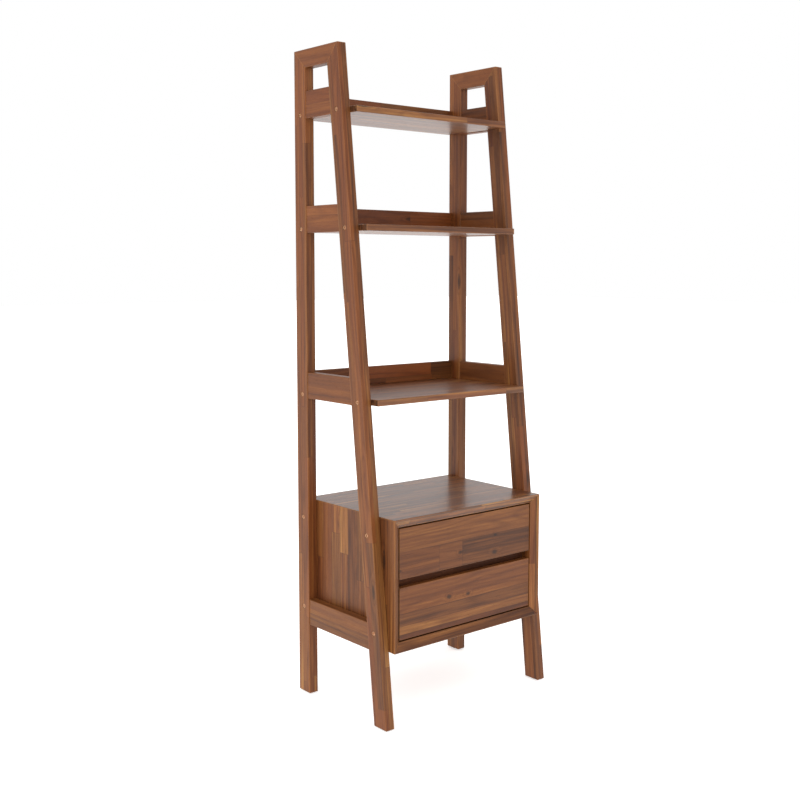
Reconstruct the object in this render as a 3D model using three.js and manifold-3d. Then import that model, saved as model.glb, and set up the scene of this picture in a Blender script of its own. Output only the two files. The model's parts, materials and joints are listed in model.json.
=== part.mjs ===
// Ladder shelf: two sloped side frames, three open shelves and a case with two drawers.
// Millimetres, +X right, front is -Y, +Z up, origin at the centre of the base.
import * as THREE from "three";
import { mergeVertices } from "three/addons/utils/BufferGeometryUtils.js";
import Module from "manifold-3d";

const wasm = await Module();
wasm.setup();

const overallWidth = 600;
const overallDepth = 400;
const overallHeight = 1800;
const topDepth = 198.5;
const frameThickness = 29;
const postDepth = 51;
const legWidth = 50.5;
const topRailHeight = 48.5;
const railHeight = 73;
const railThickness = 25;
const shelfThickness = 17;
const backRailThickness = 12;
const handleOpening = 62;
// From the case up: how the open height is divided between the bays, and how far each shelf stands proud.
const shelfLevels = [
  { name: "lower", bayWeight: 289.5, overhang: 28 },
  { name: "middle", bayWeight: 457.5, overhang: 34 },
  { name: "upper", bayWeight: 308.5, overhang: 28 },
];
const shelfRise = 2;
const shelfRearInset = 2;
const caseBottom = 204;
const caseHeight = 357;
const caseBoard = 24;
const caseBevelDepth = 14;
const caseRearInset = 3;
const backPanelThickness = 6;
const backPanelInset = 1;
const drawerReveal = 4;
const fingerGap = 23;
const upperFrontHeight = 137;
const drawerFrontThickness = 18;
const drawerSideThickness = 12;
const drawerBottomThickness = 6;
const drawerSideClearance = 4;
const drawerRearSpace = 40;
const drawerBoxDrop = 34;
const drawerGrooveDepth = 5;
const drawerGrooveRise = 10;
const dividerThickness = 12;
const dividerSetback = 12;
const dividerLipDepth = 18;
const dividerLipOverlap = 6;
const boltHeadRadius = 5.8;
const boltHeadHeight = 4.5;
const boltShankRadius = 3;
const boltShankLength = 38;
const counterboreRadius = 6.7;
const counterboreDepth = 5.3;
const caseBoltInset = 49.5;
const glideHeight = 3;
const glideRadius = 9.5;
const edgeRound = 2;
const gap = 0.3;

const front = -overallDepth / 2;
const rear = overallDepth / 2;
const footZ = glideHeight;
const innerHalf = overallWidth / 2 - frameThickness;
const postFront = rear - postDepth;
const slopeRun = overallDepth - topDepth;
const legSpan = legWidth / Math.cos(Math.atan(slopeRun / overallHeight));
const handleTop = overallHeight - topRailHeight;

const legFront = (z) => front + (slopeRun * z) / overallHeight;
const legRear = (z) => legFront(z) + legSpan;

const caseTop = caseBottom + caseHeight;
const openHeight = handleTop - handleOpening - railHeight - caseTop;
const allWeights = shelfLevels.reduce((sum, level) => sum + level.bayWeight, 0);
let weightBelow = 0;
for (const level of shelfLevels) {
  weightBelow += level.bayWeight;
  level.railBottom = caseTop + (openHeight * weightBelow) / allWeights;
  level.shelfBottom = level.railBottom + shelfRise;
  level.shelfTop = level.shelfBottom + shelfThickness;
  level.railTop = level.railBottom + railHeight;
  level.boltZ = level.shelfBottom + shelfThickness / 2;
}

const caseRear = rear - caseRearInset;
const caseHalf = innerHalf - gap;
const panelRear = caseRear - backPanelInset;
const panelFront = panelRear - backPanelThickness;
const bayHalf = caseHalf - caseBoard;
const bayBottom = caseBottom + caseBoard;
const bayTop = caseTop - caseBoard;
const caseBoltLevels = [caseTop - caseBoltInset, caseBottom + caseBoltInset];

const woodDark = { color: 0x7a5238, roughness: 0.55, metalness: 0 };
const woodWarm = { color: 0x8a6043, roughness: 0.5, metalness: 0 };
const woodPale = { color: 0xa5845f, roughness: 0.7, metalness: 0 };
const boltMetal = { color: 0xb0805a, roughness: 0.35, metalness: 1 };
const glidePlastic = { color: 0x17171a, roughness: 0.6, metalness: 0 };

const root = new THREE.Group();
root.name = "ladder_shelf";

function toSolid(geometry) {
  const bare = geometry.clone();
  bare.deleteAttribute("normal");
  bare.deleteAttribute("uv");
  const merged = mergeVertices(bare, 1e-3);
  return new wasm.Manifold(
    new wasm.Mesh({
      numProp: 3,
      vertProperties: new Float32Array(merged.attributes.position.array),
      triVerts: new Uint32Array(merged.index.array),
    }),
  );
}

function addPiece(name, solid, look) {
  const mesh = solid.getMesh();
  const geometry = new THREE.BufferGeometry();
  geometry.setAttribute("position", new THREE.BufferAttribute(new Float32Array(mesh.vertProperties), 3));
  geometry.setIndex(new THREE.BufferAttribute(new Uint32Array(mesh.triVerts), 1));
  geometry.computeVertexNormals();
  const piece = new THREE.Mesh(geometry, new THREE.MeshStandardMaterial(look));
  piece.name = name;
  root.add(piece);
}

// A prism along X, Y or Z between two stations. Its outline is given in the two other axes, in cyclic order.
function prism(axis, outline, from, to, { round = 0 } = {}) {
  const shape = new THREE.Shape(outline.map(([u, v]) => new THREE.Vector2(u, v)));
  const low = Math.min(from, to);
  const high = Math.max(from, to);
  const geometry = new THREE.ExtrudeGeometry(shape, {
    depth: high - low - 2 * round,
    curveSegments: 1,
    bevelEnabled: round > 0,
    bevelThickness: round,
    bevelSize: round,
    bevelOffset: -round,
    bevelSegments: 3,
  });
  geometry.translate(0, 0, low + round);
  const unit = {
    x: new THREE.Vector3(1, 0, 0),
    y: new THREE.Vector3(0, 1, 0),
    z: new THREE.Vector3(0, 0, 1),
  };
  const order = { x: "yz", y: "zx", z: "xy" }[axis];
  const turn = new THREE.Matrix4().makeBasis(unit[order[0]], unit[order[1]], unit[axis]);
  return toSolid(geometry.applyMatrix4(turn));
}

function roundedOutline(u0, u1, v0, v1, radius) {
  const corners = [
    [u1 - radius, v1 - radius, 0],
    [u0 + radius, v1 - radius, 1],
    [u0 + radius, v0 + radius, 2],
    [u1 - radius, v0 + radius, 3],
  ];
  const steps = 3;
  return corners.flatMap(([u, v, quarter]) =>
    Array.from({ length: steps + 1 }, (_, i) => {
      const angle = ((quarter + i / steps) * Math.PI) / 2;
      return [u + radius * Math.cos(angle), v + radius * Math.sin(angle)];
    }),
  );
}

function box([x0, x1], [y0, y1], [z0, z1]) {
  const geometry = new THREE.BoxGeometry(x1 - x0, y1 - y0, z1 - z0);
  geometry.translate((x0 + x1) / 2, (y0 + y1) / 2, (z0 + z1) / 2);
  return toSolid(geometry);
}

// A board with every edge rounded.
function board(spanX, spanY, spanZ, radius) {
  const alongX = prism("x", roundedOutline(...spanY, ...spanZ, radius), ...spanX);
  const alongY = prism("y", roundedOutline(...spanZ, ...spanX, radius), ...spanY);
  const alongZ = prism("z", roundedOutline(...spanX, ...spanY, radius), ...spanZ);
  return alongX.intersect(alongY).intersect(alongZ);
}

function rod(axis, radius, segments, from, to, [a, b, c]) {
  const length = Math.abs(to - from);
  const geometry = new THREE.CylinderGeometry(radius, radius, length, segments);
  if (axis === "x") {
    geometry.rotateZ(Math.PI / 2);
    geometry.translate((from + to) / 2, b, c);
  } else {
    geometry.rotateX(Math.PI / 2);
    geometry.translate(a, b, (from + to) / 2);
  }
  return toSolid(geometry);
}

// A socket head bolt, sunk in its counterbore with the shank pointing inwards.
function bolt(side, y, z) {
  const end = boltHeadHeight + boltShankLength;
  const profile = [
    [0, 0],
    [boltHeadRadius - 0.7, 0],
    [boltHeadRadius, 0.7],
    [boltHeadRadius, boltHeadHeight],
    [boltShankRadius, boltHeadHeight],
    [boltShankRadius, end - 1],
    [boltShankRadius - 1, end],
    [0, end],
  ];
  const lathe = new THREE.LatheGeometry(
    profile.map(([r, h]) => new THREE.Vector2(r, h)),
    14,
  );
  const hexagon = Array.from({ length: 6 }, (_, i) => {
    const angle = (i * Math.PI) / 3;
    return [2.6 * Math.cos(angle), 2.6 * Math.sin(angle)];
  });
  const socket = prism("y", hexagon, -1, 2.8);
  const turned = toSolid(lathe).subtract(socket).rotate([0, 0, side < 0 ? -90 : 90]);
  const headX = side * (overallWidth / 2 - counterboreDepth + gap + boltHeadHeight);
  return turned.translate([headX, y, z]);
}

// The stepped hole a bolt sits in, from outside the side frame to just past the bolt's tip.
function boltHole(side, y, z) {
  const outer = side * (overallWidth / 2 + 1);
  const shoulder = side * (overallWidth / 2 - counterboreDepth);
  const tip = side * (overallWidth / 2 - counterboreDepth - boltShankLength - 1);
  const wide = rod("x", counterboreRadius, 20, outer, shoulder, [0, y, z]);
  const narrow = rod("x", boltShankRadius + gap, 12, outer, tip, [0, y, z]);
  return wide.add(narrow);
}

function glide(y, x) {
  const profile = [
    [0, 0],
    [glideRadius - 1, 0],
    [glideRadius, 1],
    [glideRadius, glideHeight - gap],
    [1.6, glideHeight - gap],
    [1.6, glideHeight + 10],
    [0, glideHeight + 12],
  ];
  const lathe = new THREE.LatheGeometry(
    profile.map(([r, h]) => new THREE.Vector2(r, h)),
    16,
  );
  return toSolid(lathe.rotateX(Math.PI / 2)).translate([x, y, 0]);
}

function subtractAll(solid, cutters) {
  return cutters.reduce((left, cutter) => left.subtract(cutter), solid);
}

const boltRows = [
  ...shelfLevels.map((level) => ({ name: level.name, z: level.boltZ })),
  { name: "case_upper", z: caseBoltLevels[0] },
  { name: "case_lower", z: caseBoltLevels[1] },
];
const postBoltY = rear - postDepth / 2;
const legBoltY = (z) => legFront(z) + legSpan / 2;
const sides = [
  { name: "left", sign: -1 },
  { name: "right", sign: 1 },
];

// Post, leg and top rail are rounded along their length and mitred together. The side rails are thinner.
function addSideFrame({ name, sign }) {
  const rails = [
    { name: "bottom", railBottom: caseBottom, railTop: caseBottom + railHeight },
    ...shelfLevels,
  ];
  const xOuter = (sign * overallWidth) / 2;
  const xInner = sign * innerHalf;
  const railInset = (sign * (frameThickness - railThickness)) / 2;
  const cut = (solid, region) => solid.intersect(prism("x", region, xOuter + sign, xInner - sign));

  const over = overallHeight + 2;
  const under = handleTop - 5;
  const rearMitre = (z) => postFront + ((z - handleTop) * postDepth) / topRailHeight;
  const frontRun = legFront(overallHeight) - legRear(handleTop);
  const frontMitre = (z) => legRear(handleTop) + ((z - handleTop) * frontRun) / topRailHeight;
  const mitreGap = gap * Math.SQRT2;

  const glideY = [postBoltY, legFront(footZ) + legSpan / 2];
  const glideX = (xOuter + xInner) / 2;
  const pinHoles = glideY.map((y) => rod("z", 1.9, 12, footZ - 2, footZ + 14, [glideX, y, 0]));

  const postOutline = [
    [postFront, footZ],
    [rear, footZ],
    [rear, overallHeight],
    [postFront, overallHeight],
  ];
  const post = cut(prism("x", postOutline, xOuter, xInner, { round: edgeRound }), [
    [postFront - 1, -5],
    [rear + 2, -5],
    [rearMitre(over), over],
    [rearMitre(handleTop - 1), handleTop - 1],
  ]);
  const postHoles = boltRows.map((row) => boltHole(sign, postBoltY, row.z));
  addPiece(`${name}_rear_post`, subtractAll(post, [...postHoles, pinHoles[0]]), { ...woodDark });

  const legOutline = [
    [legFront(footZ), footZ],
    [legRear(footZ), footZ],
    [legRear(overallHeight), overallHeight],
    [legFront(overallHeight), overallHeight],
  ];
  const leg = cut(prism("x", legOutline, xOuter, xInner, { round: edgeRound }), [
    [legRear(-5) + 1, -5],
    [frontMitre(handleTop - 1), handleTop - 1],
    [frontMitre(over), over],
    [legFront(-5) - 2, -5],
  ]);
  const legHoles = boltRows.map((row) => boltHole(sign, legBoltY(row.z), row.z));
  addPiece(`${name}_front_leg`, subtractAll(leg, [...legHoles, pinHoles[1]]), { ...woodDark });

  const topOutline = [
    [legFront(overallHeight) - postDepth, handleTop],
    [rear + postDepth, handleTop],
    [rear + postDepth, overallHeight],
    [legFront(overallHeight) - postDepth, overallHeight],
  ];
  const topRail = cut(prism("x", topOutline, xOuter, xInner, { round: edgeRound }), [
    [rearMitre(under) - mitreGap, under],
    [rearMitre(over) - mitreGap, over],
    [frontMitre(over) + mitreGap, over],
    [frontMitre(under) + mitreGap, under],
  ]);
  addPiece(`${name}_top_rail`, topRail, { ...woodDark });

  for (const { name: label, railBottom, railTop } of rails) {
    const railOutline = [
      [legFront(railBottom), railBottom],
      [rear, railBottom],
      [rear, railTop],
      [legFront(railBottom), railTop],
    ];
    const stock = prism("x", railOutline, xOuter - railInset, xInner + railInset, { round: edgeRound });
    const rail = cut(stock, [
      [postFront - gap, railBottom - 5],
      [postFront - gap, railTop + 5],
      [legRear(railTop + 5) + gap, railTop + 5],
      [legRear(railBottom - 5) + gap, railBottom - 5],
    ]);
    addPiece(`${name}_${label}_rail`, rail, { ...woodWarm });
  }

  for (const row of boltRows) {
    addPiece(`${name}_${row.name}_rear_bolt`, bolt(sign, postBoltY, row.z), { ...boltMetal });
    addPiece(`${name}_${row.name}_front_bolt`, bolt(sign, legBoltY(row.z), row.z), { ...boltMetal });
  }
  addPiece(`${name}_rear_glide`, glide(glideY[0], glideX), { ...glidePlastic });
  addPiece(`${name}_front_glide`, glide(glideY[1], glideX), { ...glidePlastic });
}

function addShelf(level) {
  const shelfHalf = innerHalf - gap;
  const shelfFront = legFront(level.boltZ) - level.overhang;
  const spanZ = [level.shelfBottom, level.shelfTop];
  const shelfRear = rear - shelfRearInset;
  const slab = board([-shelfHalf, shelfHalf], [shelfFront, shelfRear], spanZ, edgeRound);
  const holes = sides.flatMap(({ sign }) => [
    boltHole(sign, postBoltY, level.boltZ),
    boltHole(sign, legBoltY(level.boltZ), level.boltZ),
  ]);
  addPiece(`${level.name}_shelf`, subtractAll(slab, holes), { ...woodWarm });

  const railY = [shelfRear - backRailThickness, shelfRear];
  const railZ = [level.shelfTop + gap, level.railTop];
  const rail = board([-shelfHalf, shelfHalf], railY, railZ, edgeRound);
  addPiece(`${level.name}_back_rail`, rail, { ...woodWarm });
}

// A four-sided funnel along Y, wide at the case's front and narrow where the drawers sit.
function funnel(wide, narrow, y0, y1) {
  const ring = ([x0, x1, z0, z1], y) => [
    [x0, y, z0],
    [x1, y, z0],
    [x1, y, z1],
    [x0, y, z1],
  ];
  const points = [...ring(wide, y0), ...ring(narrow, y1)];
  const geometry = new THREE.BufferGeometry();
  geometry.setAttribute("position", new THREE.Float32BufferAttribute(points.flat(), 3));
  const walls = [0, 1, 2, 3].flatMap((i) => {
    const next = (i + 1) % 4;
    return [i, i + 4, next, next, i + 4, next + 4];
  });
  geometry.setIndex([0, 1, 2, 0, 2, 3, 4, 6, 5, 4, 7, 6, ...walls]);
  return toSolid(geometry);
}

function addCase() {
  const shell = board([-caseHalf, caseHalf], [front, caseRear], [caseBottom, caseTop], edgeRound);
  const bay = box([-bayHalf, bayHalf], [front - 1, caseRear + 1], [bayBottom, bayTop]);
  const land = edgeRound + 0.4;
  const rise = (caseBevelDepth + 1) / caseBevelDepth;
  const widen = (caseBoard - land) * rise;
  const bevel = funnel(
    [-bayHalf - widen, bayHalf + widen, bayBottom - widen, bayTop + widen],
    [-bayHalf, bayHalf, bayBottom, bayTop],
    front - 1,
    front + caseBevelDepth,
  );
  const carcass = shell.subtract(bay).subtract(bevel);
  const take = (region) => carcass.intersect(prism("y", region, front - 2, rear));
  const reach = caseBoard + 1;
  const mitreGap = gap * Math.SQRT2;

  for (const [name, z, turn] of [["top", caseTop, 1], ["bottom", caseBottom, -1]]) {
    const region = [
      [z + turn, -caseHalf - 1],
      [z + turn, caseHalf + 1],
      [z - turn * reach, caseHalf - reach],
      [z - turn * reach, -caseHalf + reach],
    ];
    addPiece(`case_${name}`, take(region), { ...woodWarm });
  }
  for (const { name, sign } of sides) {
    const region = [
      [caseBottom - 1 + mitreGap, sign * (caseHalf + 1)],
      [caseTop + 1 - mitreGap, sign * (caseHalf + 1)],
      [caseTop - reach - mitreGap, sign * (caseHalf - reach)],
      [caseBottom + reach + mitreGap, sign * (caseHalf - reach)],
    ];
    const holes = caseBoltLevels.flatMap((z) => [
      boltHole(sign, postBoltY, z),
      boltHole(sign, legBoltY(z), z),
    ]);
    addPiece(`case_${name}_side`, subtractAll(take(region), holes), { ...woodWarm });
  }

  const panelX = [-bayHalf + gap, bayHalf - gap];
  const panelZ = [bayBottom + gap, bayTop - gap];
  addPiece("case_back_panel", box(panelX, [panelFront, panelRear], panelZ), { ...woodPale });
}

const drawerFront = front + caseBevelDepth;
const upperFrontBottom = bayTop - drawerReveal - upperFrontHeight;
const lowerFrontTop = upperFrontBottom - fingerGap;
const dividerZ = [upperFrontBottom - dividerThickness, upperFrontBottom];

// The panel under the upper drawer, with a deeper lip that closes the finger gap from behind.
function addDivider() {
  const spanX = [-bayHalf + gap, bayHalf - gap];
  const lipFront = drawerFront + drawerFrontThickness + dividerSetback;
  const lipZ = [lowerFrontTop - dividerLipOverlap, dividerZ[1]];
  const panel = box(spanX, [lipFront + 1, panelFront - gap], dividerZ);
  const lip = board(spanX, [lipFront, lipFront + dividerLipDepth], lipZ, 1);
  addPiece("drawer_divider", panel.add(lip), { ...woodPale });
}

function addDrawer(name, frontZ, floorZ) {
  const frontHalf = bayHalf - drawerReveal;
  const boxHalf = bayHalf - drawerSideClearance;
  const faceY = [drawerFront, drawerFront + drawerFrontThickness];
  const boxFront = faceY[1] + gap;
  const boxRear = rear - drawerRearSpace;
  const boxTop = frontZ[1] - drawerBoxDrop;
  const grooveLow = floorZ + drawerGrooveRise;
  const grooveZ = [grooveLow, grooveLow + drawerBottomThickness + 2 * gap];
  const panelHalf = boxHalf - drawerSideThickness + drawerGrooveDepth;
  const groove = box([-panelHalf, panelHalf], [faceY[1] - drawerGrooveDepth, boxRear + 1], grooveZ);

  const face = board([-frontHalf, frontHalf], faceY, frontZ, 1.2);
  addPiece(`${name}_drawer_front`, face.subtract(groove), { ...woodWarm });

  for (const { name: label, sign } of sides) {
    const spanX = [sign * boxHalf, sign * (boxHalf - drawerSideThickness)].sort((a, b) => a - b);
    const panel = board(spanX, [boxFront, boxRear], [floorZ, boxTop], 1);
    addPiece(`${name}_drawer_${label}_side`, panel.subtract(groove), { ...woodPale });
  }

  const insideHalf = boxHalf - drawerSideThickness - gap;
  const backZ = [grooveZ[1], boxTop];
  const back = board([-insideHalf, insideHalf], [boxRear - drawerSideThickness, boxRear], backZ, 1);
  addPiece(`${name}_drawer_back`, back, { ...woodPale });

  const bottomX = [-panelHalf + gap, panelHalf - gap];
  const bottomY = [boxFront - drawerGrooveDepth, boxRear];
  const bottomZ = [grooveZ[0] + gap, grooveZ[1] - gap];
  addPiece(`${name}_drawer_bottom`, box(bottomX, bottomY, bottomZ), { ...woodPale });
}

sides.forEach(addSideFrame);
shelfLevels.forEach(addShelf);
addCase();
addDivider();
addDrawer("upper", [upperFrontBottom, bayTop - drawerReveal], dividerZ[1] + gap);
addDrawer("lower", [bayBottom + drawerReveal, lowerFrontTop], bayBottom + gap);

export default root;
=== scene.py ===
# Ladder shelf in oiled hardwood: finishes, bolts, glides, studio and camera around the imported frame.
import json
import math
import random

import bmesh
import bpy
from mathutils import Matrix, Vector

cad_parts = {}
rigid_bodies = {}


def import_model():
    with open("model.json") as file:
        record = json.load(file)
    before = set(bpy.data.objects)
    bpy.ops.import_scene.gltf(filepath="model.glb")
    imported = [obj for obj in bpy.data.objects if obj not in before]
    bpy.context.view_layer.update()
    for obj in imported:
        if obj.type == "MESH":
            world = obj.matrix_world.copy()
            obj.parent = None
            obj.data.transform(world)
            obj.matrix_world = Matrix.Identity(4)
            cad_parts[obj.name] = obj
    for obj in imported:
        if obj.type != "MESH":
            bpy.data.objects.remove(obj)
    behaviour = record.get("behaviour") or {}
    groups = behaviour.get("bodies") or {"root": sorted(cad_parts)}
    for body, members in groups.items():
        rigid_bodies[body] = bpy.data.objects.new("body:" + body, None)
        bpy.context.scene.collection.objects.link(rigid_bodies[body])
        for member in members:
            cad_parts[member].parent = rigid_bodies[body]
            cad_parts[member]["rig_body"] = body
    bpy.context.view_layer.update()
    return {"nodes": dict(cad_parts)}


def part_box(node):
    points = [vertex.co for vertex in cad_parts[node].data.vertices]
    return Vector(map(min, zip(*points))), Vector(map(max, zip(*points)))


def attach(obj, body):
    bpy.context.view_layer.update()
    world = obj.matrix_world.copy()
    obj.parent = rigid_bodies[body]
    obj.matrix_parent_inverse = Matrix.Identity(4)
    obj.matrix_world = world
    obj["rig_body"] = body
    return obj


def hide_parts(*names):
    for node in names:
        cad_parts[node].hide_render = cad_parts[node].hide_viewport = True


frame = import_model()
scene = bpy.context.scene
for leftover in [thing for thing in scene.objects if "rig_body" not in thing and thing.type != "EMPTY"]:
    bpy.data.objects.remove(leftover)  # such as the starting cube
print("frame loaded:", len(frame["nodes"]), "nodes")


# Small helpers that add and join shader nodes.

def addNode(tree, kind, *feeds, **settings):
    made = tree.nodes.new("ShaderNode" + kind)
    for key, value in settings.items():
        setattr(made, key, value)
    for place, feed in enumerate(feeds):
        if isinstance(feed, bpy.types.NodeSocket):
            tree.links.new(feed, made.inputs[place])
        elif feed is not None:
            made.inputs[place].default_value = feed
    return made


def maths(tree, operation, *feeds):
    return addNode(tree, "Math", *feeds, operation=operation).outputs[0]


def step(tree, value, low, high, start=0.0, end=1.0):  # soft step from start to end
    made = addNode(tree, "MapRange", value, low, high, start, end, interpolation_type="SMOOTHSTEP")
    return made.outputs[0]


def mixTint(tree, amount, first, second, how="MIX"):
    made = addNode(tree, "Mix", amount, data_type="RGBA", blend_type=how)
    for place, feed in ((6, first), (7, second)):
        if isinstance(feed, bpy.types.NodeSocket):
            tree.links.new(feed, made.inputs[place])
        else:
            made.inputs[place].default_value = feed
    return made.outputs[2]


def noise(tree, vector, stretch, detail=2.0, roughness=0.5):
    stretched = addNode(tree, "VectorMath", vector, stretch, operation="MULTIPLY").outputs[0]
    return addNode(tree, "TexNoise", stretched, None, 1.0, detail, roughness).outputs[0]


def square(tree, value):
    return maths(tree, "MULTIPLY", value, value)


def fromMiddle(tree, value):  # 0 half-way through each whole step, 0.5 at its ends
    return maths(tree, "ABSOLUTE", maths(tree, "SUBTRACT", maths(tree, "FRACT", value), 0.5))


def joined(tree, x, y, z):
    return addNode(tree, "CombineXYZ", x, y, z).outputs[0]


def tint(red, green, blue):  # paint-chart colour to linear light
    return [((part / 255 + 0.055) / 1.055) ** 2.4 for part in (red, green, blue)] + [1.0]


def newGroup(name, inputs, outputs):
    tree = bpy.data.node_groups.new(name, "ShaderNodeTree")
    for label in inputs:
        tree.interface.new_socket(label, in_out="INPUT", socket_type="NodeSocketFloat")
    for label in outputs:
        tree.interface.new_socket(label, in_out="OUTPUT", socket_type="NodeSocketFloat")
    given = tree.nodes.new("NodeGroupInput").outputs
    return tree, [given[label] for label in inputs], tree.nodes.new("NodeGroupOutput").inputs


def useGroup(tree, group, *feeds):
    made = tree.nodes.new("ShaderNodeGroup")
    made.node_tree = group
    for place, feed in enumerate(feeds):
        if isinstance(feed, bpy.types.NodeSocket):
            tree.links.new(feed, made.inputs[place])
        else:
            made.inputs[place].default_value = feed
    return made.outputs


# The wood is three node groups: where the staves lie, what grain each one has, and single knots.

staveShape = {
    "seedShift": 3.71,          # how far a new seed slides the staves sideways
    "widthWave": (1.9, 0.28),   # how often and how much the widths change
    "boardShift": 9.3,          # how far each row's butt joints are slid along
    "boardWave": (2.3, 0.2),
}


def uneven(tree, value, wave):  # stretches some steps and shortens others
    often, much = wave
    sway = maths(tree, "SINE", maths(tree, "MULTIPLY", value, often))
    return maths(tree, "MULTIPLY_ADD", sway, much, value)


def staveGroup():  # glued staves of uneven width, each a row of boards butted end to end
    labels = ["Along", "Across", "Depth", "Seed", "Stave", "Split", "Board"]
    tree, feeds, result = newGroup("gluedStaves", labels, ["Row", "Piece", "Edge"])
    along, across, depth, seed, stave, split, board = feeds
    rows = maths(tree, "DIVIDE", across, stave)
    rows = maths(tree, "MULTIPLY_ADD", seed, staveShape["seedShift"], rows)
    rows = uneven(tree, rows, staveShape["widthWave"])
    row = maths(tree, "FLOOR", rows)
    rowEdge = maths(tree, "MULTIPLY", maths(tree, "SUBTRACT", 0.5, fromMiddle(tree, rows)), stave)
    layer = maths(tree, "GREATER_THAN", depth, split)
    layerEdge = maths(tree, "ABSOLUTE", maths(tree, "SUBTRACT", depth, split))
    key = maths(tree, "MULTIPLY_ADD", layer, 0.5, row)
    chance = addNode(tree, "TexWhiteNoise", joined(tree, key, seed, 0.0)).outputs["Value"]
    run = maths(tree, "DIVIDE", along, board)
    run = maths(tree, "MULTIPLY_ADD", chance, staveShape["boardShift"], run)
    run = uneven(tree, run, staveShape["boardWave"])
    piece = maths(tree, "FLOOR", run)
    pieceEdge = maths(tree, "MULTIPLY", maths(tree, "SUBTRACT", 0.5, fromMiddle(tree, run)), board)
    tree.links.new(key, result["Row"])
    tree.links.new(piece, result["Piece"])
    nearest = maths(tree, "MINIMUM", maths(tree, "MINIMUM", rowEdge, layerEdge), pieceEdge)
    tree.links.new(nearest, result["Edge"])
    return tree


knotShape = {
    "lengthwise": 0.6,               # a knot is longer along the grain
    "ragged": (150.0, 260.0, 1.0),   # how fine its broken outline is
    "raggedness": (2.4, 0.1),
}


def knotGroup():  # a soft hill, 1 at the knot's heart
    labels = ["Along", "Across", "Heart along", "Heart across", "Size"]
    tree, (along, across, heartAlong, heartAcross, size), result = newGroup("knotHill", labels, ["Hill"])
    longWay = maths(tree, "DIVIDE", maths(tree, "SUBTRACT", along, heartAlong), size)
    longWay = maths(tree, "MULTIPLY", longWay, knotShape["lengthwise"])
    wideWay = maths(tree, "DIVIDE", maths(tree, "SUBTRACT", across, heartAcross), size)
    squares = maths(tree, "ADD", square(tree, longWay), square(tree, wideWay))
    ragged = noise(tree, joined(tree, along, across, size), knotShape["ragged"], 2.0, 0.7)
    ragged = maths(tree, "MULTIPLY_ADD", ragged, *knotShape["raggedness"])
    squares = maths(tree, "MULTIPLY", squares, ragged)
    hill = maths(tree, "EXPONENT", maths(tree, "MULTIPLY", squares, -1.0))
    tree.links.new(hill, result["Hill"])
    return tree


grainShape = {  # each stretch is (along, across, depth), in waves per metre
    "boardShift": (7.0, 5.0, 3.0),     # every board is cut from another place
    "wander": (3.0, 9.0, 9.0),
    "wanderReach": (0.0, 0.012, 0.012),
    "knotCells": (6.0, 24.0, 24.0),
    "knotReach": 0.2,
    "knotRare": 0.86,                  # the share of cells without a knot
    "rings": (1.2, 15.0, 15.0),
    "ringCount": 11.0,
    "knotPull": 2.6,                   # rings drawn round a knot
    "ringSharp": 2.2,
    "streak": (2.0, 95.0, 95.0),
    "fibre": (22.0, 900.0, 900.0),
    "pore": (70.0, 1700.0, 1700.0),
    "poreRange": (0.62, 0.74),
}


def grainGroup():  # streaks, growth figure, fibres and pores of one board
    labels = ["Along", "Across", "Depth", "Row", "Piece", "Seed", "Knot"]
    outputs = ["Tone", "Warmth", "Streak", "Figure", "Fibre", "Pore", "Heart"]
    tree, (along, across, depth, row, piece, seed, knot), result = newGroup("boardGrain", labels, outputs)
    dice = addNode(tree, "TexWhiteNoise", joined(tree, row, piece, seed))
    colour = dice.outputs["Color"]
    place = joined(tree, along, across, depth)
    added = dict(operation="MULTIPLY_ADD")
    place = addNode(tree, "VectorMath", colour, grainShape["boardShift"], place, **added).outputs[0]
    wander = addNode(tree, "VectorMath", place, grainShape["wander"], operation="MULTIPLY").outputs[0]
    wander = addNode(tree, "TexNoise", wander, None, 1.0, 1.0, 0.5).outputs[1]
    grain = addNode(tree, "VectorMath", wander, grainShape["wanderReach"], place, **added).outputs[0]

    cells = addNode(tree, "VectorMath", place, grainShape["knotCells"], operation="MULTIPLY").outputs[0]
    cell = addNode(tree, "TexVoronoi", cells, None, 1.0)
    near = maths(tree, "DIVIDE", cell.outputs["Distance"], grainShape["knotReach"])
    hill = maths(tree, "EXPONENT", maths(tree, "MULTIPLY", maths(tree, "POWER", near, 2.0), -1.0))
    cellChance = addNode(tree, "SeparateColor", cell.outputs["Color"]).outputs[0]
    rare = maths(tree, "GREATER_THAN", cellChance, grainShape["knotRare"])
    hill = maths(tree, "MAXIMUM", maths(tree, "MULTIPLY", hill, rare), knot)

    rings = maths(tree, "MULTIPLY", noise(tree, grain, grainShape["rings"], 1.0), grainShape["ringCount"])
    rings = maths(tree, "MULTIPLY_ADD", hill, grainShape["knotPull"], rings)
    figure = maths(tree, "SINE", maths(tree, "MULTIPLY", rings, 2 * math.pi))
    figure = maths(tree, "MULTIPLY_ADD", figure, 0.5, 0.5)
    figure = maths(tree, "POWER", figure, grainShape["ringSharp"])
    streak = noise(tree, grain, grainShape["streak"], 4.0, 0.62)
    fibre = noise(tree, grain, grainShape["fibre"], 2.0, 0.6)
    pore = step(tree, noise(tree, grain, grainShape["pore"], 1.0), *grainShape["poreRange"])

    warmth = addNode(tree, "SeparateColor", colour).outputs[1]
    values = (dice.outputs["Value"], warmth, streak, figure, fibre, pore, hill)
    for label, value in zip(outputs, values):
        tree.links.new(value, result[label])
    return tree


staves, knotHill, boardGrain = staveGroup(), knotGroup(), grainGroup()

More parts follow.
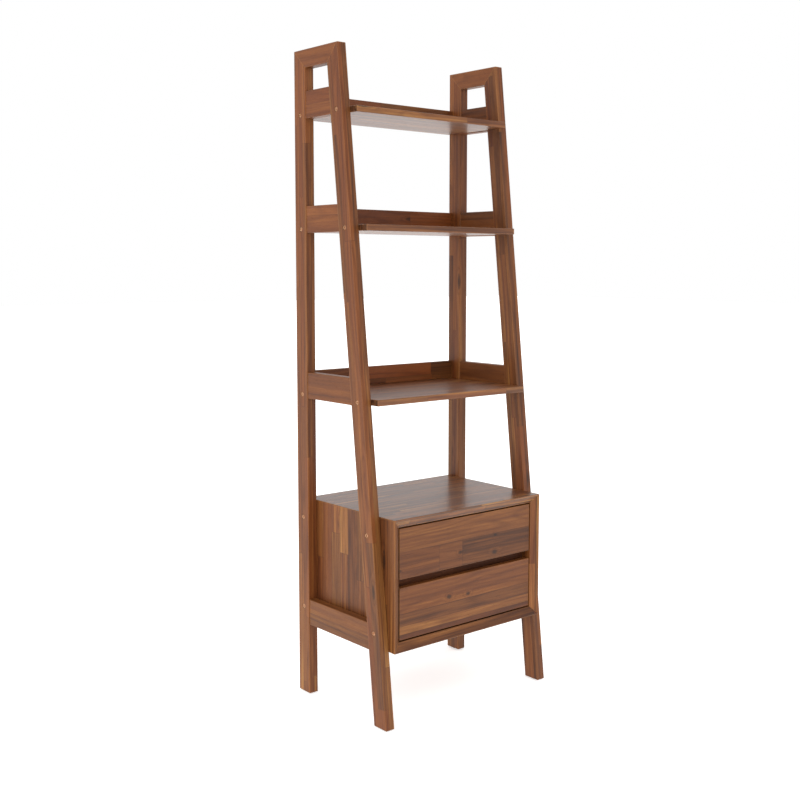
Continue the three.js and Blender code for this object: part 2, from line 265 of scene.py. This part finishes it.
oiledTones = {  # one hardwood from heartwood to sapwood, under clear oil
    "palette": [(46, 25, 12), (74, 41, 18), (98, 57, 26), (116, 71, 33), (136, 90, 44), (164, 118, 62)],
    "redWash": (132, 66, 28),
    "ringShade": (0.45, 0.36, 0.3, 1.0),
    "joint": (30, 16, 8),
    "knot": (30, 17, 10),
    "endGrain": (72, 43, 24),
    # the paler edge colour: partly rubbed wear, partly a painted highlight on the rounded edges
    "edgeRubAndHighlight": (162, 112, 64),
}
paleTones = {  # plain carcass wood inside the case
    "palette": [
        (128, 96, 62), (146, 112, 74), (160, 124, 84),
        (170, 134, 92), (182, 146, 104), (194, 160, 118),
    ],
    "redWash": (172, 120, 80),
    "ringShade": (0.45, 0.36, 0.3, 1.0),
    "joint": (92, 66, 42),
    "knot": (96, 62, 38),
    "endGrain": (128, 96, 64),
    # the paler edge colour: partly rubbed wear, partly a painted highlight on the rounded edges
    "edgeRubAndHighlight": (200, 166, 124),
}


def explicitStaves(tree, along, across, plan):  # staves set out one by one
    row, tone, edge = 0.0, plan["tones"][0], 1.0
    for place, joint in enumerate(plan["joints"]):
        past = maths(tree, "GREATER_THAN", across, joint)
        row = maths(tree, "ADD", row, past)
        tone = maths(tree, "MULTIPLY_ADD", past, plan["tones"][place + 1] - plan["tones"][place], tone)
        away = maths(tree, "ABSOLUTE", maths(tree, "SUBTRACT", across, joint))
        edge = maths(tree, "MINIMUM", edge, away)
    piece = 0.0
    for where, cut, change in plan["cuts"]:
        inRow = maths(tree, "COMPARE", row, float(where), 0.2)
        past = maths(tree, "MULTIPLY", inRow, maths(tree, "GREATER_THAN", along, cut))
        piece = maths(tree, "ADD", piece, past)
        tone = maths(tree, "MULTIPLY_ADD", past, change, tone)
        far = maths(tree, "ABSOLUTE", maths(tree, "SUBTRACT", along, cut))
        far = maths(tree, "ADD", far, maths(tree, "SUBTRACT", 1.0, inRow))
        edge = maths(tree, "MINIMUM", edge, far)
    return row, piece, edge, tone


woodStart = {  # what a wooden piece has unless its own look says otherwise
    "split": 9.0,        # depth where a second glued layer starts, here none
    "base": 0.3,         # mean tone, from heartwood 0 to sapwood 1
    "spread": 0.5,       # tone difference from board to board
    "streaks": 1.7,
    "red": 0.45,
    "figure": 0.42,
    "seam": 0.55,
    # how strongly the rounded edges are painted paler: partly wear, partly a painted highlight
    "rubAndHighlight": 0.55,
    "roughness": 0.36,
    "bump": 0.35,
    "coat": 0.12,
    "lean": 0.0,
    "knots": (),
}


def roundedEdgeMask(tree, radius, low, high, most):  # most at a rounded edge, 0 on a flat face
    rounded = addNode(tree, "Bevel", radius, samples=4).outputs[0]
    flat = addNode(tree, "NewGeometry").outputs["Normal"]
    turned = addNode(tree, "VectorMath", rounded, flat, operation="DOT_PRODUCT").outputs["Value"]
    return step(tree, turned, low, high, most, 0.0)


def woodFinish(name, look, tones=oiledTones):
    look = dict(woodStart, **look)
    material = bpy.data.materials.new(name)
    material.use_nodes = True
    tree = material.node_tree
    shader = tree.nodes["Principled BSDF"]
    place = addNode(tree, "TexCoord").outputs["Object"]
    facing = addNode(tree, "TexCoord").outputs["Normal"]
    if look["lean"]:  # a leaning leg's grain runs along the leg
        turn = dict(rotation_type="X_AXIS")
        place = addNode(tree, "VectorRotate", place, None, None, look["lean"], **turn).outputs[0]
        facing = addNode(tree, "VectorRotate", facing, None, None, look["lean"], **turn).outputs[0]
    order = ["xyz".index(axis) for axis in look["axes"]]  # along, across, depth
    parts = addNode(tree, "SeparateXYZ", place).outputs
    along, across, depth = (parts[axis] for axis in order)
    towards = addNode(tree, "SeparateXYZ", facing).outputs[order[0]]

    seed = look["seed"]
    if "plan" in look:
        row, piece, edge, setTone = explicitStaves(tree, along, across, look["plan"])
    else:
        measures = (look["stave"], look["split"], look["board"])
        row, piece, edge = useGroup(tree, staves, along, across, depth, seed, *measures)
        setTone = None
    knot = 0.0
    for heartAlong, heartAcross, size in look["knots"]:
        hill = useGroup(tree, knotHill, along, across, heartAlong, heartAcross, size)[0]
        knot = maths(tree, "MAXIMUM", knot, hill)
    grain = useGroup(tree, boardGrain, along, across, depth, row, piece, seed, knot)
    tone, warmth, streak, figure, fibre, pore, heart = grain

    if setTone is None:
        setTone = maths(tree, "MULTIPLY_ADD", tone, look["spread"], look["base"])
    shade = maths(tree, "MULTIPLY_ADD", maths(tree, "SUBTRACT", streak, 0.5), look["streaks"], setTone)
    wide = addNode(tree, "ValToRGB", shade)
    stops = wide.color_ramp.elements
    while len(stops) < len(tones["palette"]):
        stops.new(0.5)
    for count, colour in enumerate(tones["palette"]):
        stops[count].position = count / (len(tones["palette"]) - 1)
        stops[count].color = tint(*colour)
    colour = wide.outputs[0]
    wash = maths(tree, "MULTIPLY", warmth, look["red"])
    colour = mixTint(tree, wash, colour, tint(*tones["redWash"]))
    darker = mixTint(tree, 1.0, colour, tones["ringShade"], "MULTIPLY")
    colour = mixTint(tree, maths(tree, "MULTIPLY", figure, look["figure"]), colour, darker)
    weave = maths(tree, "MULTIPLY_ADD", fibre, 0.7, 0.65)  # fine light and dark fibres
    colour = mixTint(tree, 1.0, colour, joined(tree, weave, weave, weave), "MULTIPLY")
    colour = mixTint(tree, maths(tree, "MULTIPLY", pore, 0.4), colour, tint(*tones["joint"]))
    colour = mixTint(tree, step(tree, heart, 0.35, 1.0, 0.0, 0.8), colour, tint(*tones["knot"]))
    cut = step(tree, maths(tree, "ABSOLUTE", towards), 0.75, 0.95, 0.0, 0.75)  # end grain
    ringed = mixTint(tree, figure, tint(*tones["endGrain"]), tint(*tones["joint"]))
    colour = mixTint(tree, cut, colour, ringed)
    seam = step(tree, edge, 0.0002, 0.0008, look["seam"], 0.0)
    colour = mixTint(tree, seam, colour, tint(*tones["joint"]))

    rubAndHighlight = roundedEdgeMask(tree, 0.0035, 0.86, 0.99, look["rubAndHighlight"])  # edges painted paler: partly rubbed wear, partly a painted highlight along the rounded edges
    rubAndHighlight = maths(tree, "MULTIPLY", rubAndHighlight, maths(tree, "MULTIPLY_ADD", streak, 1.2, 0.1))
    colour = mixTint(tree, rubAndHighlight, colour, tint(*tones["edgeRubAndHighlight"]))
    tree.links.new(colour, shader.inputs["Base Color"])

    gloss = maths(tree, "MULTIPLY_ADD", streak, 0.22, look["roughness"])
    gloss = maths(tree, "MULTIPLY_ADD", pore, 0.2, gloss)
    tree.links.new(gloss, shader.inputs["Roughness"])
    height = maths(tree, "MULTIPLY", fibre, 0.25)
    height = maths(tree, "MULTIPLY_ADD", pore, -0.6, height)
    height = maths(tree, "MULTIPLY_ADD", seam, -1.0, height)
    height = maths(tree, "MULTIPLY_ADD", figure, -0.12, height)
    bump = addNode(tree, "Bump", look["bump"], 0.0003)
    tree.links.new(height, bump.inputs["Height"])
    tree.links.new(bump.outputs[0], shader.inputs["Normal"])
    shader.inputs["Coat Weight"].default_value = look["coat"]
    shader.inputs["Coat Roughness"].default_value = 0.24
    shader.inputs["Specular IOR Level"].default_value = 0.25
    return material


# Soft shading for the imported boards: flat faces stay flat and rounded edges shade round.

def softShadeGroup():
    tree = bpy.data.node_groups.new("softShade", "GeometryNodeTree")
    tree.interface.new_socket("Geometry", in_out="INPUT", socket_type="NodeSocketGeometry")
    tree.interface.new_socket("Geometry", in_out="OUTPUT", socket_type="NodeSocketGeometry")
    add, link = tree.nodes.new, tree.links.new
    weld = add("GeometryNodeMergeByDistance")
    weld.inputs["Distance"].default_value = 0.00001
    smooth = add("GeometryNodeSetShadeSmooth")
    smooth.inputs["Shade Smooth"].default_value = True
    crease = add("GeometryNodeSetShadeSmooth")
    crease.domain = "EDGE"
    crease.inputs["Shade Smooth"].default_value = False
    angle = add("GeometryNodeInputMeshEdgeAngle")
    sharp = add("FunctionNodeCompare")
    sharp.operation = "GREATER_THAN"
    sharp.inputs[1].default_value = math.radians(40)
    link(add("NodeGroupInput").outputs[0], weld.inputs["Geometry"])
    link(weld.outputs[0], smooth.inputs["Geometry"])
    link(smooth.outputs[0], crease.inputs["Geometry"])
    link(angle.outputs["Unsigned Angle"], sharp.inputs[0])
    link(sharp.outputs[0], crease.inputs["Selection"])
    link(crease.outputs[0], add("NodeGroupOutput").inputs[0])
    return tree


softShade = softShadeGroup()


def dress(node, material):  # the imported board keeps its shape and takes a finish
    board = frame["nodes"][node]
    board.data.materials.clear()
    board.data.materials.append(material)
    board.modifiers.new("softShade", "NODES").node_group = softShade
    weighted = board.modifiers.new("flatFaces", "WEIGHTED_NORMAL")
    weighted.keep_sharp = True


frameLook = {  # posts and legs
    "stave": 0.021,     # strips glued side by side
    "board": 0.62,      # and finger-jointed end to end
    "base": 0.34,
    "spread": 0.34,
    "red": 0.36,
    "seam": 0.4,
    "coat": 0.06,
}
frameSeeds = {"post": 3.1, "leg": 7.4, "topRail": 11.3, "rails": 20.7}  # another seed, another board
frameDetails = {
    "postSplit": 0.002,       # glue line between a post's two layers, from its middle
    "legSplit": -0.001,
    # the right frame's posts and legs are made darker: partly painted shade on their inward faces, partly
    # a tone difference
    "rightShadeAndTone": 0.06,
    "topRailStave": 0.19,
    "upperRailTones": [0.42, 0.26],   # two tones with a joint line between them, the darker above
}
railLook = {  # level rails: plainer and in one width
    "stave": 0.08,
    "board": 0.9,
    "seam": 0.25,
    "streaks": 1.0,
    "figure": 0.25,
    "base": 0.36,
    "spread": 0.2,
}


def legLean():  # the slope from the leg's foot to the top rail's front corner
    foot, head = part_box("left_front_leg"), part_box("left_top_rail")
    return math.atan2(head[0].y - foot[0].y, head[1].z - foot[0].z)


def dressSideFrames():
    for count, side in enumerate(("left", "right")):
        low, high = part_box(side + "_rear_post")
        middle = (low.x + high.x) / 2
        upright = dict(frameLook, axes="zyx", split=middle + frameDetails["postSplit"])
        # right posts and legs darker: partly painted shade, partly a tone difference
        upright["base"] -= frameDetails["rightShadeAndTone"] * count
        post = dict(upright, seed=frameSeeds["post"] + count)
        dress(side + "_rear_post", woodFinish(side + "PostWood", post))
        leg = dict(upright, lean=legLean(), seed=frameSeeds["leg"] + count)
        leg["split"] = middle + frameDetails["legSplit"]
        dress(side + "_front_leg", woodFinish(side + "LegWood", leg))

        level = dict(frameLook, axes="yzx", **railLook)
        topRail = dict(level, stave=frameDetails["topRailStave"], seed=frameSeeds["topRail"] + count)
        dress(side + "_top_rail", woodFinish(side + "TopRailWood", topRail))
        for place, rail in enumerate(("bottom", "lower", "middle", "upper")):
            node = f"{side}_{rail}_rail"
            look = dict(level, seed=frameSeeds["rails"] + count * 5 + place)
            if rail == "upper":
                low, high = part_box(node)
                tones = frameDetails["upperRailTones"]
                look["plan"] = {"joints": [(low.z + high.z) / 2], "tones": tones, "cuts": []}
            dress(node, woodFinish(f"{side}{rail.title()}RailWood", look))


dressSideFrames()
print("side frames finished")


shelfLook = {
    "axes": "xyz",
    "stave": 0.019,
    "board": 0.42,
    "base": 0.3,
    "spread": 0.34,
    "red": 0.3,
    "seam": 0.6,
    "streaks": 2.0,
    "coat": 0.3,
}
backRailLook = {
    "axes": "xzy",
    "stave": 0.08,
    "board": 0.26,
    "base": 0.27,
    "spread": 0.36,
    "red": 0.75,
    "streaks": 1.1,
}
shelfSeeds = {"shelf": 31.2, "backRail": 41.7}


def dressShelves():
    for count, level in enumerate(("lower", "middle", "upper")):
        shelf = dict(shelfLook, seed=shelfSeeds["shelf"] + count)
        dress(level + "_shelf", woodFinish(level + "ShelfWood", shelf))
        backRail = dict(backRailLook, seed=shelfSeeds["backRail"] + count)
        dress(level + "_back_rail", woodFinish(level + "BackRailWood", backRail))


dressShelves()
print("shelves finished")


caseTopLook = {  # narrow short staves under the glossiest coat
    "axes": "xyz",
    "seed": 52.3,
    "stave": 0.0125,
    "board": 0.17,
    "base": 0.26,
    "spread": 0.44,
    "red": 0.25,
    "streaks": 2.2,
    "seam": 0.75,
    "coat": 0.5,
}
caseBottomLook = dict(caseTopLook, stave=0.03, board=0.5, seed=57.1, base=0.22, spread=0.3, coat=0.12)
caseLeftLook = {  # upright staves, the first plan tone nearest the front
    "axes": "zyx",
    "seed": 61.4,
    "red": 0.3,
    "plan": {
        "joints": [-0.172, -0.135, -0.086, -0.038, 0.0015, 0.038, 0.078, 0.118, 0.158],
        "tones": [0.52, 0.2, 0.38, 0.56, 0.36, 0.46, 0.56, 0.4, 0.3, 0.42],
        "cuts": [  # stave, height of its butt joint, tone change above it
            (3, 0.37, -0.1),
            (5, 0.431, 0.26),
            (6, 0.482, 0.05),
            (1, 0.33, 0.14),
            (8, 0.4, 0.14),
        ],
    },
    "knots": [(0.47, -0.156, 0.006), (0.29, -0.148, 0.005)],  # height, place from back to front, size
    "coat": 0.06,
}
caseRightLook = {
    "axes": "zyx",
    "seed": 66.8,
    "stave": 0.04,
    "board": 0.24,
    "base": 0.26,
    "spread": 0.4,
    "red": 0.3,
}
innerLook = {"stave": 0.09, "board": 0.7, "coat": 0.0, "roughness": 0.5}  # not oiled to a shine
backPanelLook = dict(innerLook, axes="xzy", seed=71.5, base=0.4, spread=0.2)
dividerLook = dict(innerLook, axes="xyz", seed=74.9, base=0.04, spread=0.14)  # dark in the finger gap


def dressCase():
    dress("case_top", woodFinish("caseTopWood", caseTopLook))
    dress("case_bottom", woodFinish("caseBottomWood", caseBottomLook))
    dress("case_left_side", woodFinish("caseLeftWood", caseLeftLook))
    dress("case_right_side", woodFinish("caseRightWood", caseRightLook))
    dress("case_back_panel", woodFinish("backPanelWood", backPanelLook))
    dress("drawer_divider", woodFinish("dividerWood", dividerLook))


dressCase()
print("case finished")


drawerFrontLooks = {  # joints are heights, from the lowest; knots are (across, height, size)
    "upper": {
        "axes": "xzy",
        "seed": 81.3,
        "red": 0.3,
        "streaks": 1.2,
        "plan": {
            "joints": [0.4684],
            "tones": [0.33, 0.52],
            "cuts": [(0, -0.104, 0.04), (0, -0.019, -0.09)],
        },
        "knots": [
            (-0.2415, 0.4196, 0.006),
            (-0.0257, 0.4355, 0.0085),
            (0.104, 0.415, 0.0105),
            (0.106, 0.464, 0.007),
        ],
    },
    "lower": {
        "axes": "xzy",
        "seed": 86.2,
        "red": 0.3,
        "streaks": 1.2,
        "plan": {"joints": [0.246, 0.269, 0.302], "tones": [0.12, 0.66, 0.42, 0.44], "cuts": []},
        "knots": [(-0.0674, 0.3178, 0.0095), (0.0031, 0.3137, 0.008)],
    },
}
drawerBoxLook = {
    "firstSeed": 91.6,
    "stave": 0.2,
    "board": 0.8,
    "base": 0.35,
    "spread": 0.35,
    "coat": 0.0,
    "roughness": 0.5,
}
drawerBoxAxes = {"left_side": "yzx", "right_side": "yzx", "back": "xzy", "bottom": "xyz"}


def dressDrawers():
    for count, level in enumerate(("upper", "lower")):
        name = level + "_drawer"
        dress(name + "_front", woodFinish(level + "DrawerFrontWood", drawerFrontLooks[level]))
        for place, (part, axes) in enumerate(drawerBoxAxes.items()):
            look = dict(drawerBoxLook, axes=axes, seed=drawerBoxLook["firstSeed"] + count * 6 + place)
            finish = level + "Drawer" + part.title().replace("_", "") + "Wood"
            dress(f"{name}_{part}", woodFinish(finish, look, paleTones))


dressDrawers()
print("drawers finished")


# A turned piece is a row of rings, each (radius, height, is it a hexagon), skinned in order.
def turnedPiece(name, rings, material, steps=48):
    shape = bmesh.new()
    loops = []
    for radius, height, hexagon in rings:
        loop = []
        for count in range(steps):
            angle = 2 * math.pi * count / steps
            side = (angle + math.pi / 6) % (math.pi / 3) - math.pi / 6  # from the middle of its flat
            reach = radius / math.cos(side) if hexagon else radius
            loop.append(shape.verts.new((reach * math.cos(angle), reach * math.sin(angle), height)))
        loops.append(loop)
    for first, second in zip(loops, loops[1:]):
        for count in range(steps):
            after = (count + 1) % steps
            shape.faces.new((first[count], first[after], second[after], second[count]))
    shape.faces.new(reversed(loops[0]))
    shape.faces.new(loops[-1])
    bmesh.ops.recalc_face_normals(shape, faces=shape.faces)
    mesh = bpy.data.meshes.new(name)
    shape.to_mesh(mesh)
    shape.free()
    mesh.materials.append(material)
    mesh.shade_smooth()
    piece = bpy.data.objects.new(name, mesh)
    scene.collection.objects.link(piece)
    piece.modifiers.new("softShade", "NODES").node_group = softShade
    return piece


def plainFinish(name, look):  # metal or plastic with fine scratches and worn edges
    material = bpy.data.materials.new(name)
    material.use_nodes = True
    tree = material.node_tree
    shader = tree.nodes["Principled BSDF"]
    place = addNode(tree, "TexCoord").outputs["Object"]
    cloud = noise(tree, place, (look["cloud"],) * 3, 3.0)
    speck = noise(tree, place, (look["speck"],) * 3, 2.0, 0.7)
    colour = mixTint(tree, step(tree, cloud, 0.35, 0.7), tint(*look["dark"]), tint(*look["light"]))
    colour = mixTint(tree, roundedEdgeMask(tree, look["edge"], 0.8, 0.98, 0.7), colour, tint(*look["worn"]))
    tree.links.new(colour, shader.inputs["Base Color"])
    gloss = maths(tree, "MULTIPLY_ADD", speck, 0.3, look["roughness"])
    tree.links.new(gloss, shader.inputs["Roughness"])
    bump = addNode(tree, "Bump", 0.3, 0.0001)
    tree.links.new(speck, bump.inputs["Height"])
    tree.links.new(bump.outputs[0], shader.inputs["Normal"])
    shader.inputs["Metallic"].default_value = look["metal"]
    return material


boltLook = {  # bronze-coloured plating
    "dark": (158, 112, 80),
    "light": (206, 162, 128),
    "worn": (240, 208, 180),
    "cloud": 260.0,
    "speck": 2400.0,
    "edge": 0.0005,
    "roughness": 0.18,
    "metal": 1.0,
}
glideLook = {  # black moulded plastic
    "dark": (16, 16, 18),
    "light": (30, 30, 33),
    "worn": (58, 58, 62),
    "cloud": 180.0,
    "speck": 1500.0,
    "edge": 0.0006,
    "roughness": 0.45,
    "metal": 0.0,
}
boltRings = [  # from the socket's floor to the shank's tip, in millimetres
    (0.9, 2.5, True), (2.5, 2.4, True), (2.5, 0.35, True), (2.75, 0.0, True), (4.7, 0.0, False),
    (5.25, 0.12, False), (5.6, 0.45, False), (5.8, 1.0, False), (5.8, 4.3, False), (5.6, 4.5, False),
    (3.0, 4.5, False), (3.0, 41.5, False), (2.4, 42.4, False), (0.8, 42.4, False),
]
glideRings = [  # from the floor up to the tip of the pin in the foot
    (3.0, 0.0, False), (8.0, 0.0, False), (8.9, 0.25, False), (9.4, 0.7, False), (9.5, 1.3, False),
    (9.5, 2.2, False), (9.2, 2.6, False), (1.6, 2.7, False), (1.6, 13.0, False), (0.5, 14.6, False),
]


def inMetres(rings):
    return [(radius / 1000, height / 1000, hexagon) for radius, height, hexagon in rings]


def fitPiece(piece, node):  # the turned piece stands for the plain one of the frame
    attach(piece, "frame")
    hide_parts(node)


def makeBolts():
    material = plainFinish("platedBolt", boltLook)
    dice = random.Random(5)  # every socket is left at its own angle
    for side, sign in (("left", -1), ("right", 1)):
        for row in ("lower", "middle", "upper", "case_upper", "case_lower"):
            for end in ("rear", "front"):
                node = f"{side}_{row}_{end}_bolt"
                low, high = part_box(node)
                piece = turnedPiece(node + "_fine", inMetres(boltRings), material)
                spin = Matrix.Rotation(dice.uniform(0, 1), 4, "Z")
                turn = Matrix.Rotation(-sign * math.pi / 2, 4, "Y") @ spin
                head = high.x if sign > 0 else low.x
                place = Vector((head, (low.y + high.y) / 2, (low.z + high.z) / 2))
                piece.data.transform(Matrix.Translation(place) @ turn)
                fitPiece(piece, node)


def makeGlides():
    material = plainFinish("mouldedGlide", glideLook)
    for side in ("left", "right"):
        for end in ("rear", "front"):
            node = f"{side}_{end}_glide"
            low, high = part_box(node)
            piece = turnedPiece(node + "_fine", inMetres(glideRings), material)
            place = Vector(((low.x + high.x) / 2, (low.y + high.y) / 2, low.z))
            piece.data.transform(Matrix.Translation(place))
            fitPiece(piece, node)


makeBolts()
makeGlides()
print("hardware made")


studio = {
    "floorSize": 60.0,
    "floorTone": (246, 246, 245),
    "floorCloud": 0.985,     # the floor's faint unevenness
    "floorGlow": 0.5,
    "skyStrength": 1.0,
    "sun": {
        "place": (0.0, 0.0, 4.0),
        "towards": (0.72, 0.4, -0.57),
        "strength": 1.05,
        "angle": math.radians(60),
    },
    "keyLight": {"place": (-3.6, -3.4, 3.2), "aim": (0.0, 0.0, 0.9), "size": 3.0, "watts": 25},
}


def aimed(thing, place, target):
    thing.location = place
    thing.rotation_euler = (Vector(target) - Vector(place)).to_track_quat("-Z", "Y").to_euler()


def makeFloor():
    half = studio["floorSize"] / 2
    corners = [(-half, -half, 0), (half, -half, 0), (half, half, 0), (-half, half, 0)]
    mesh = bpy.data.meshes.new("studioFloor")
    mesh.from_pydata(corners, [], [(0, 1, 2, 3)])
    floor = bpy.data.objects.new("studioFloor", mesh)
    scene.collection.objects.link(floor)
    material = bpy.data.materials.new("paleFloor")
    material.use_nodes = True
    tree = material.node_tree
    shader = tree.nodes["Principled BSDF"]
    cloud = noise(tree, addNode(tree, "TexCoord").outputs["Object"], (3.0, 3.0, 3.0), 2.0)
    pale = tint(*studio["floorTone"])
    shaded = [part * studio["floorCloud"] for part in pale[:3]] + [1.0]
    tree.links.new(mixTint(tree, cloud, pale, shaded), shader.inputs["Base Color"])
    shader.inputs["Roughness"].default_value = 0.8
    shader.inputs["Emission Color"].default_value = (1.0, 1.0, 1.0, 1.0)
    shader.inputs["Emission Strength"].default_value = studio["floorGlow"]
    mesh.materials.append(material)


def makeLights():
    sun = bpy.data.lights.new("softSun", "SUN")
    sun.energy, sun.angle = studio["sun"]["strength"], studio["sun"]["angle"]
    thing = bpy.data.objects.new("softSun", sun)
    scene.collection.objects.link(thing)
    place = Vector(studio["sun"]["place"])
    aimed(thing, place, place + Vector(studio["sun"]["towards"]))
    key = studio["keyLight"]
    lamp = bpy.data.lights.new("keyLight", "AREA")
    lamp.shape, lamp.size, lamp.energy = "DISK", key["size"], key["watts"]
    thing = bpy.data.objects.new("keyLight", lamp)
    scene.collection.objects.link(thing)
    aimed(thing, key["place"], key["aim"])


def makeSky():
    world = bpy.data.worlds.new("studioSky")
    world.use_nodes = True
    sky = world.node_tree.nodes["Background"]
    sky.inputs["Color"].default_value = (1.0, 1.0, 1.0, 1.0)
    sky.inputs["Strength"].default_value = studio["skyStrength"]
    scene.world = world
    scene.view_settings.view_transform = "Standard"


makeFloor()
makeLights()
makeSky()


cameraLook = {
    "place": (-2.07299, -2.42294, 1.22096),
    "heading": math.radians(40.541),   # turned from straight ahead towards +X
    "tilt": math.radians(5.636),       # looking slightly down
    "roll": math.radians(0.117),
    "lens": 50.61,
    "sensor": 36.0,
    "shift": (-0.03, -0.03),
}


def makeCamera():
    lens = bpy.data.cameras.new("camera")
    lens.lens, lens.sensor_width = cameraLook["lens"], cameraLook["sensor"]
    lens.shift_x, lens.shift_y = cameraLook["shift"]
    camera = bpy.data.objects.new("camera", lens)
    heading, tilt, roll = (cameraLook[key] for key in ("heading", "tilt", "roll"))
    turn = Matrix.Rotation(-heading, 4, "Z") @ Matrix.Rotation(math.pi / 2 - tilt, 4, "X")
    turn = turn @ Matrix.Rotation(roll, 4, "Z")
    camera.matrix_world = Matrix.Translation(cameraLook["place"]) @ turn
    scene.collection.objects.link(camera)
    scene.camera = camera


makeCamera()
print("studio and camera set")
